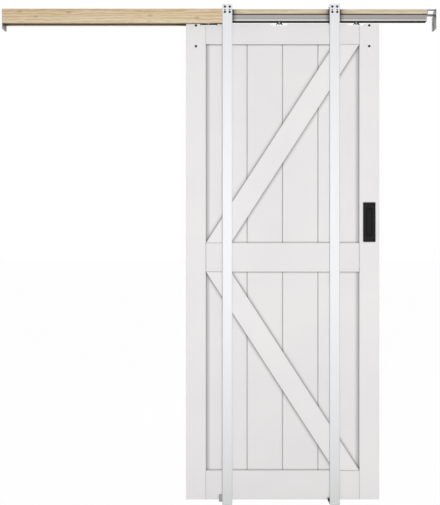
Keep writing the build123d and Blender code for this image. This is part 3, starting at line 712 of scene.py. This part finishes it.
def point_shank(length, tip=TIP_LENGTH):
    """Draw a shank of a length out of the selected face, down to a point."""
    extrude(0, 0, tip - length)
    extrude(0, 0, -tip)
    bottom = min(corner.co.z for corner in bmesh.from_edit_mesh(bpy.context.object.data).verts)
    bpy.ops.transform.resize(value=(TIP_SHARE, TIP_SHARE, 1), center_override=(0, 0, bottom))


def sunk_screw(length):
    """A wood screw that points down, its flat head's face at the origin, with a cross recess."""
    screw = begin_round(SUNK_HEAD, -SUNK_DEPTH, 0)
    pick_faces(facing_down)
    resize((0, 0, -SUNK_DEPTH), SHANK / SUNK_HEAD, SHANK / SUNK_HEAD, 1)
    point_shank(length - SUNK_DEPTH)
    pick_edges(lambda middle, along: middle.z > -NEAR)
    bevel(SUNK_EDGE, segments=2)
    close_edit()
    cut_cross(screw, 0, SUNK_RECESS)
    return screw


def pan_screw(length):
    """A wood screw that points down, its domed head standing on the origin, with a cross recess."""
    screw = begin_round(PAN_HEAD, 0, PAN_HEIGHT)
    pick_faces(facing_up)
    resize((0, 0, PAN_HEIGHT), PAN_TOP_SHARE, PAN_TOP_SHARE, 1)
    pick_edges(lambda middle, along: middle.z > PAN_HEIGHT - NEAR)
    bevel(PAN_EDGE, segments=4)
    pick_faces(facing_down)
    bpy.ops.mesh.inset(thickness=(PAN_HEAD - SHANK) * MM)
    point_shank(length)
    close_edit()
    cut_cross(screw, PAN_HEIGHT, PAN_RECESS)
    return screw


def hexagon_head(radius, bottom, top, both_ends=False):
    """A hexagon with a turned chamfer on its top, or on both ends."""
    flats = radius * math.cos(HALF_FLAT)
    turned_radius = CHAMFER_SHARE * flats
    drop = (radius - turned_radius) * math.tan(CHAMFER_ANGLE)
    head = begin("cylinder", vertices=6, radius=radius * MM, depth=(top - bottom) * MM,
                 location=at(0, 0, (bottom + top) / 2), rotation=(0, 0, HALF_FLAT))
    close_edit()
    turned = begin_round(radius, bottom + (drop if both_ends else -SPARE), top - drop, TURNED_SIDES)
    pick_faces(facing_up)
    extrude(0, 0, drop)
    resize((0, 0, top), turned_radius / radius, turned_radius / radius, 1)
    if both_ends:
        pick_faces(facing_down)
        extrude(0, 0, -drop)
        resize((0, 0, bottom), turned_radius / radius, turned_radius / radius, 1)
    close_edit()
    combine(head, turned, "INTERSECT")
    return head


def cut_sunk_hole(piece, length, place, turn):
    """Cut a sunk screw's hole, a little larger than the screw, into a piece."""
    cutter = begin_round(SUNK_HEAD + HOLE_ROOM, -SUNK_DEPTH, 0)
    pick_faces(facing_up)
    extrude(0, 0, SPARE)
    pick_faces(facing_down)
    resize((0, 0, -SUNK_DEPTH), (SHANK + HOLE_ROOM) / SUNK_HEAD, (SHANK + HOLE_ROOM) / SUNK_HEAD, 1)
    extrude(0, 0, SUNK_DEPTH - length)
    close_edit()
    hole = copy_of(cutter, place, turn)
    bpy.data.objects.remove(cutter)
    combine(piece, hole, "DIFFERENCE")


def cut_level(height, side=1):
    """Cut the open piece level at a height, keep what is above, or below for a side of -1, and close it."""
    bpy.ops.mesh.select_all(action="SELECT")
    bpy.ops.mesh.bisect(plane_co=at(0, 0, height), plane_no=(0, 0, side), use_fill=True,
                        clear_inner=True, threshold=CUT_REACH * MM)


def threaded_bar(radius, depth, pitch, bottom, top):
    """A bar about the Z axis with a raised thread, its ends cut square."""
    flank, start = radius - depth / 2, bottom - pitch
    bar = begin("plane", size=pitch * MM, location=at(flank, 0, start), rotation=(math.radians(90), 0, 0))
    pick_edges(lambda middle, along: middle.x > flank + NEAR)
    bpy.ops.mesh.merge(type="CENTER")
    bpy.ops.mesh.select_all(action="SELECT")
    resize((flank, 0, start), depth / pitch, 1, 1)
    bpy.ops.mesh.delete(type="ONLY_FACE")
    pick_edges(lambda middle, along: abs(along.z) > STRAIGHT)
    bpy.ops.mesh.delete(type="EDGE")
    close_edit()
    turns = round((top - bottom) / pitch) + 3
    apply_modifier(bar, "SCREW", axis="Z", screw_offset=pitch * MM, iterations=turns,
                   steps=THREAD_STEPS, render_steps=THREAD_STEPS)
    face_outwards(bar)
    bpy.ops.object.mode_set(mode="EDIT")
    cut_level(bottom)
    cut_level(top, -1)
    close_edit()
    face_outwards(bar)
    return bar


# Screws through the studs into the header board
STUD_SCREW_LENGTH = 28.5
STUD_SCREW_HEIGHT = middle_of("stud_screws", 2)
finish_piece(set_out(sunk_screw(STUD_SCREW_LENGTH), [
    ((column, side * STUD_FACE, STUD_SCREW_HEIGHT), turn)
    for column in STUD_COLUMNS for side, turn in FRONT_AND_REAR
]), "cross_head_stud_screws", "frame", "stud_screws")

# Screws of the flush pulls
PULL_LOW, PULL_HIGH = node_box("front_flush_pull")
PULL_X, PULL_Z = middle_of("front_flush_pull", 0), middle_of("front_flush_pull", 2)
PULL_FACE = PULL_LOW[1]
PULL_SCREW_LENGTH = 14
PULL_SCREW_HEIGHTS = (node_box("pull_screws")[0][2] + SUNK_HEAD, node_box("pull_screws")[1][2] - SUNK_HEAD)
finish_piece(set_out(sunk_screw(PULL_SCREW_LENGTH), [
    ((PULL_X, -side * PULL_FACE, height), turn)
    for height in PULL_SCREW_HEIGHTS for side, turn in FRONT_AND_REAR
]), "cross_head_pull_screws", "door", "pull_screws")

# Screws of the door guides, through them into the jamb studs
GUIDE_LOW, GUIDE_HIGH = node_box("door_guide_front")
GUIDE_SCREW_LENGTH, GUIDE_SCREW_INSET = 20.15, 5
GUIDE_SCREW_Y, GUIDE_SCREW_Z = GUIDE_LOW[1] + GUIDE_SCREW_INSET, middle_of("door_guide_front", 2)
finish_piece(set_out(sunk_screw(GUIDE_SCREW_LENGTH), [
    ((GUIDE_LOW[0], -side * GUIDE_SCREW_Y, GUIDE_SCREW_Z), TO_RIGHT) for side in BOTH_SIDES
]), "cross_head_guide_screws", "frame", "guide_screws")

# Screws of the hanger plates, into the top rail
PLATE_TOP = node_box("hanger_plates")[1][2]
PLATE_SCREW_LENGTH, PLATE_SCREW_ALONG, PLATE_SCREW_ACROSS = 30.5, 29.5, 8
finish_piece(set_out(pan_screw(PLATE_SCREW_LENGTH), [
    ((place + along * PLATE_SCREW_ALONG, across * PLATE_SCREW_ACROSS, PLATE_TOP), DOWN)
    for place in HANGER_PLACES for along in BOTH_SIDES for across in BOTH_SIDES
]), "domed_hanger_screws", "door", "hanger_plate_screws")

# Screws of the track, from inside it up into the header board
TRACK_SCREW_LENGTH, TRACK_SCREW_PITCH = 17.5, 336.4
TRACK_ROOF = node_box("track_screws")[0][2] + PAN_HEIGHT
finish_piece(set_out(pan_screw(TRACK_SCREW_LENGTH), [
    ((TRACK_SCREW_PITCH * step, 0, TRACK_ROOF), UP) for step in (-2.5, -1.5, -0.5, 0.5, 1.5, 2.5)
]), "domed_track_screws", "frame", "track_screws")

# Hexagon screws of the end brackets, with a shank in the board
HEX_HEAD, HEX_HEIGHT = 5, 5
HEX_SHANK, HEX_LENGTH, HEX_POINT, HEX_TIP = 2.5, 28, 4, 3.5
HEX_SEAT = node_box("bracket_screws")[1][0] - HEX_HEIGHT
HEX_Y, HEX_Z = 15, middle_of("bracket_screws", 2)
bracket_screw = hexagon_head(HEX_HEAD, 0, HEX_HEIGHT)
shank = begin_round(HEX_SHANK, -HEX_LENGTH, SPARE)
pick_faces(facing_down)
point_shank(HEX_POINT, HEX_TIP)
close_edit()
combine(bracket_screw, shank, "UNION")
finish_piece(set_out(bracket_screw, [
    ((side * HEX_SEAT, across * HEX_Y, HEX_Z), turn)
    for side, turn in ((-1, TO_RIGHT), (1, TO_LEFT)) for across in BOTH_SIDES
]), "hexagon_bracket_screws", "frame", "bracket_screws")

# Pendant bolts: a long thread under a hexagon head
BOLT_RADIUS, THREAD_DEPTH, THREAD_PITCH = 3, 0.5, 1
BOLT_HEAD, BOLT_HEAD_HEIGHT = 5.4, 3.6
BOLT_BOTTOM, BOLT_TOP = node_box("pendant_bolts")[0][2], node_box("pendant_bolts")[1][2]
BOLT_SEAT = BOLT_TOP - BOLT_HEAD_HEIGHT
bolt = threaded_bar(BOLT_RADIUS, THREAD_DEPTH, THREAD_PITCH, BOLT_BOTTOM, BOLT_SEAT + SPARE)
combine(bolt, hexagon_head(BOLT_HEAD, BOLT_SEAT, BOLT_TOP), "UNION")
finish_piece(set_out(bolt, [((place, 0, 0), DOWN) for place in HANGER_PLACES]),
             "threaded_pendant_bolts", "door", "pendant_bolts")

# Nuts, one under and one on top of each hanger bracket
NUT_RADIUS, NUT_HEIGHT, NUT_BORE = 5.5, 4, 3.05
NUT_HEIGHTS = (node_box("hanger_nuts")[0][2], node_box("hanger_nuts")[1][2] - NUT_HEIGHT)
nut = hexagon_head(NUT_RADIUS, 0, NUT_HEIGHT, both_ends=True)
bore = begin_round(NUT_BORE, -SPARE, NUT_HEIGHT + SPARE)
close_edit()
combine(nut, bore, "DIFFERENCE")
finish_piece(set_out(nut, [
    ((place, 0, bottom), DOWN) for place in HANGER_PLACES for bottom in NUT_HEIGHTS
]), "chamfered_hanger_nuts", "door", "hanger_nuts")

# Plugs in the studs' holes: a dished button with a flange behind the sheet
PLUG_RADIUS, PLUG_HEIGHT, PLUG_EDGE = 4.95, 1.2, 0.25
PLUG_RIM, DISH_DEPTH, DISH_SHARE = 0.7, 0.35, 0.9
FLANGE_RADIUS, FLANGE_HEIGHT = 6.2, 1.2
PLUG_LOW, PLUG_HIGH = node_box("stud_plugs")
plug = begin_round(PLUG_RADIUS, -PLUG_HEIGHT, 0)
pick_faces(facing_up)
bpy.ops.mesh.inset(thickness=PLUG_RIM * MM)
extrude(0, 0, -DISH_DEPTH)
resize((0, 0, -DISH_DEPTH), DISH_SHARE, DISH_SHARE, 1)
pick_faces(facing_down)
bpy.ops.mesh.inset(thickness=0)
resize((0, 0, -PLUG_HEIGHT), FLANGE_RADIUS / PLUG_RADIUS, FLANGE_RADIUS / PLUG_RADIUS, 1)
extrude(0, 0, -FLANGE_HEIGHT)
pick_edges(lambda middle, along: middle.z > -NEAR and middle.xy.length > PLUG_RADIUS - NEAR)
bevel(PLUG_EDGE, segments=3)
close_edit()
finish_piece(set_out(plug, [
    ((column, side * PLUG_HIGH[1], height), turn)
    for column in STUD_COLUMNS for height in (PLUG_HIGH[2] - FLANGE_RADIUS, PLUG_LOW[2] + FLANGE_RADIUS)
    for side, turn in FRONT_AND_REAR
]), "dished_stud_plugs", "frame", "stud_plugs")


def pull_block(half_width, half_height, front, back):
    """A block about the middle of a pull, open in edit mode."""
    return begin_block((PULL_X - half_width, front, PULL_Z - half_height),
                       (PULL_X + half_width, back, PULL_Z + half_height))


def through_the_door(middle, along):
    """True for an edge that runs through the door's thickness."""
    return abs(along.y) > STRAIGHT


# Flush pulls: a plate with softened edges, a deep cup with a rounded floor, and sunk screw holes
DOOR_FACE = node_box("right_stile")[0][1]
PLATE_CORNER, PLATE_EDGE = 2.5, 0.8
CUP_HALF_WIDTH, CUP_HALF_HEIGHT, CUP_OVERLAP, CUP_WALL = 14, 59.5, 0.5, 1.5
CUP_CORNER, CUP_FOOT = 6.5, 2.5
HOLLOW_FLOOR, HOLLOW_FOOT, HOLLOW_FRONT = PULL_HIGH[1] - CUP_WALL, 3.5, -25
HOLLOW_HALF_WIDTH, HOLLOW_HALF_HEIGHT = CUP_HALF_WIDTH - CUP_WALL, CUP_HALF_HEIGHT - CUP_WALL
MOUTH_EDGE = 0.5
pull = pull_block(PULL_HIGH[0] - PULL_X, PULL_HIGH[2] - PULL_Z, PULL_FACE, DOOR_FACE)
pick_edges(through_the_door)
bevel(PLATE_CORNER, segments=6)
pick_edges(lambda middle, along: middle.y < PULL_FACE + NEAR)
bevel(PLATE_EDGE, segments=3)
close_edit()
cup = pull_block(CUP_HALF_WIDTH, CUP_HALF_HEIGHT, DOOR_FACE - CUP_OVERLAP, PULL_HIGH[1])
pick_edges(through_the_door)
bevel(CUP_CORNER, segments=7)
pick_edges(lambda middle, along: middle.y > PULL_HIGH[1] - NEAR)
bevel(CUP_FOOT, segments=4)
close_edit()
combine(pull, cup, "UNION")
hollow = pull_block(HOLLOW_HALF_WIDTH, HOLLOW_HALF_HEIGHT, HOLLOW_FRONT, HOLLOW_FLOOR)
pick_edges(through_the_door)
bevel(CUP_CORNER - CUP_WALL, segments=8)
pick_edges(lambda middle, along: middle.y > HOLLOW_FLOOR - NEAR)
bevel(HOLLOW_FOOT, segments=5)
close_edit()
combine(pull, hollow, "DIFFERENCE")
for height in PULL_SCREW_HEIGHTS:
    cut_sunk_hole(pull, PULL_SCREW_LENGTH, (PULL_X, PULL_FACE, height), TO_BACK)
bpy.ops.object.mode_set(mode="EDIT")
pick_edges(lambda middle, along: middle.y < PULL_FACE + NEAR
           and abs(middle.x - PULL_X) < HOLLOW_HALF_WIDTH + NEAR
           and abs(middle.z - PULL_Z) < HOLLOW_HALF_HEIGHT + NEAR)
bevel(MOUTH_EDGE, segments=3)
close_edit()
rear_pull = copy_of(pull, scale=FRONT_TO_REAR)
finish_piece(pull, "front_cup_pull", "door", "front_flush_pull")
finish_piece(rear_pull, "rear_cup_pull", "door", "rear_flush_pull")

# Door guides: a moulded block with a round nose, soft edges and a sunk screw hole
GUIDE_NOSE, GUIDE_EDGE, GUIDE_HOLE_LENGTH = 5, 0.7, 20
guide = begin_block(GUIDE_LOW, GUIDE_HIGH)
pick_edges(lambda middle, along: abs(along.z) > STRAIGHT and middle.y > GUIDE_HIGH[1] - NEAR)
bevel(GUIDE_NOSE, segments=8)
close_edit()
apply_modifier(guide, "BEVEL", width=GUIDE_EDGE * MM, segments=3, limit_method="ANGLE",
               angle_limit=SHARP_ANGLE)
cut_sunk_hole(guide, GUIDE_HOLE_LENGTH, (GUIDE_LOW[0], GUIDE_SCREW_Y, GUIDE_SCREW_Z), TO_RIGHT)
rear_guide = copy_of(guide, scale=FRONT_TO_REAR)
finish_piece(guide, "front_moulded_guide", "frame", "door_guide_front")
finish_piece(rear_guide, "rear_moulded_guide", "frame", "door_guide_rear")

# Rub pads: soft rubber blocks with rounded edges, as far from the door as the guides
PAD_EDGE = 1
PAD_LOW, PAD_HIGH = node_box("pocket_rub_pads")
pad = begin_block(PAD_LOW, (PAD_HIGH[0], GUIDE_HIGH[1], PAD_HIGH[2]))
pick_edges(lambda middle, along: middle.x < PAD_HIGH[0] - NEAR)
bevel(PAD_EDGE, segments=4)
close_edit()
rear_pad = copy_of(pad, scale=FRONT_TO_REAR)
finish_piece(join([pad, rear_pad]), "rounded_rub_pads", "frame", "pocket_rub_pads")

# Hanger brackets: a sheet folded to two sloping legs, cut flat at its feet and bored for the bolt
HUMP_TOP = node_box("left_hanger_bracket")[1][2]
BRACKET_WIDTH, CROWN_WIDTH, BRACKET_SHEET = 30, 16, 2.4
LEG_RUN, LEG_DROP, FOLD = 9, 13, 2.5
BRACKET_EDGE, BOLT_HOLE = 0.25, 3.3
half_crown = CROWN_WIDTH / 2
sheet = begin("plane", size=BRACKET_WIDTH * MM, location=at(0, 0, HUMP_TOP))
resize((0, 0, HUMP_TOP), CROWN_WIDTH / BRACKET_WIDTH, 1, 1)
for side in BOTH_SIDES:
    pick_edges(lambda middle, along: side * middle.x > half_crown - NEAR and abs(along.y) > STRAIGHT)
    extrude(side * LEG_RUN, 0, -LEG_DROP)
pick_edges(lambda middle, along: abs(abs(middle.x) - half_crown) < NEAR and abs(along.y) > STRAIGHT)
bevel(FOLD, segments=5)
close_edit()
apply_modifier(sheet, "SOLIDIFY", thickness=BRACKET_SHEET * MM, offset=-1, use_even_offset=True)
bpy.ops.object.mode_set(mode="EDIT")
cut_level(PLATE_TOP)
close_edit()
bolt_hole = begin_round(BOLT_HOLE, HUMP_TOP - BRACKET_SHEET - SPARE, HUMP_TOP + SPARE)
close_edit()
combine(sheet, bolt_hole, "DIFFERENCE")
apply_modifier(sheet, "BEVEL", width=BRACKET_EDGE * MM, segments=2, limit_method="ANGLE",
               angle_limit=SHARP_ANGLE)
for side, place in zip(HANGER_SIDES, HANGER_PLACES):
    bracket = copy_of(sheet, (place, 0, 0))
    finish_piece(bracket, f"{side}_folded_bracket", "door", f"{side}_hanger_bracket")
bpy.data.objects.remove(sheet)


WORLD_LIGHT = 0.25
FLOOR_WHITE_SHARE = 0.985
FLOOR_SIZE, FLOOR_HEIGHT = 400, -1 * MM


def seen_directly(owner):
    """1 where a surface is seen, straight, in a reflection or through glass, and 0 where it only lights."""
    ray = add_node(owner, "ShaderNodeLightPath")
    seen = ray.outputs["Is Camera Ray"]
    for kind in ("Is Glossy Ray", "Is Transmission Ray"):
        both = add_node(owner, "ShaderNodeMath", {0: seen, 1: ray.outputs[kind]}, operation="MAXIMUM")
        seen = both.outputs[0]
    return seen


def white_for_the_camera(material, behind):
    """Mix a surface's own shading with plain white where it is seen directly."""
    share = add_node(material, "ShaderNodeMath", {0: seen_directly(material), 1: FLOOR_WHITE_SHARE},
                     operation="MULTIPLY").outputs[0]
    glow = add_node(material, "ShaderNodeEmission", {"Color": linear("#FFFFFF"), "Strength": 1.0})
    mixed = add_node(material, "ShaderNodeMixShader", {"Fac": share, 1: behind, 2: glow.outputs[0]})
    output = material.node_tree.nodes["Material Output"]
    material.node_tree.links.new(mixed.outputs[0], output.inputs["Surface"])


# Floor: plain and pale, seen as white, with the shadow left in it
bpy.ops.object.select_all(action="DESELECT")
bpy.ops.mesh.primitive_plane_add(size=FLOOR_SIZE, location=(0, 0, FLOOR_HEIGHT))
floor = bpy.context.object
floor.name = "floor"
floor_material, floor_shader, _ = new_material("pale_floor", Base_Color=linear("#B4B4B4"), Roughness=0.9)
white_for_the_camera(floor_material, floor_shader.outputs[0])
floor.data.materials.append(floor_material)

# World: soft white light, and plain white behind the object
world = bpy.data.worlds.new("studio")
bpy.context.scene.world = world
world.use_nodes = True
strength = add_node(world, "ShaderNodeMix", {"Factor": seen_directly(world), "A": WORLD_LIGHT, "B": 1.0})
sky = world.node_tree.nodes["Background"]
sky.inputs["Color"].default_value = linear("#FFFFFF")
world.node_tree.links.new(strength.outputs[0], sky.inputs["Strength"])


def soft_box(name, place, aim, width, height, watts):
    """A soft area lamp at a place, pointed at another."""
    lamp = bpy.data.lights.new(name, "AREA")
    lamp.shape = "RECTANGLE"
    lamp.size = width
    lamp.size_y = height
    lamp.energy = watts
    holder = bpy.data.objects.new(name, lamp)
    holder.location = place
    holder.rotation_euler = (Vector(aim) - Vector(place)).to_track_quat("-Z", "Y").to_euler()
    holder.visible_camera = False
    bpy.context.scene.collection.objects.link(holder)


# Lamps: a narrow one near the camera, so that the studs cast little shadow, and a high one behind
soft_box("front_soft_box", place=(0.28, -5.6, 1.3), aim=(0.28, 0, 1.3), width=0.9, height=1.9, watts=187)
soft_box("rear_soft_box", place=(0.5, 5.6, 4.5), aim=(0.5, 0, 1.3), width=1.9, height=1.9, watts=250)

# Camera: level, at the photograph's own distance and height; the focal length is in its pixels
CAMERA_PLACE = (3.4, -6524.5, 1073.3)
SENSOR, FOCAL_LENGTH, PICTURE_HEIGHT = 36, 1522.7, 505
camera = bpy.data.objects.new("camera", bpy.data.cameras.new("camera"))
camera.location = [value * MM for value in CAMERA_PLACE]
camera.rotation_euler = (math.radians(90), 0, 0)
camera.data.sensor_width = SENSOR
camera.data.lens = SENSOR * FOCAL_LENGTH / PICTURE_HEIGHT
bpy.context.scene.collection.objects.link(camera)
bpy.context.scene.camera = camera
bpy.context.scene.view_settings.view_transform = "Standard"
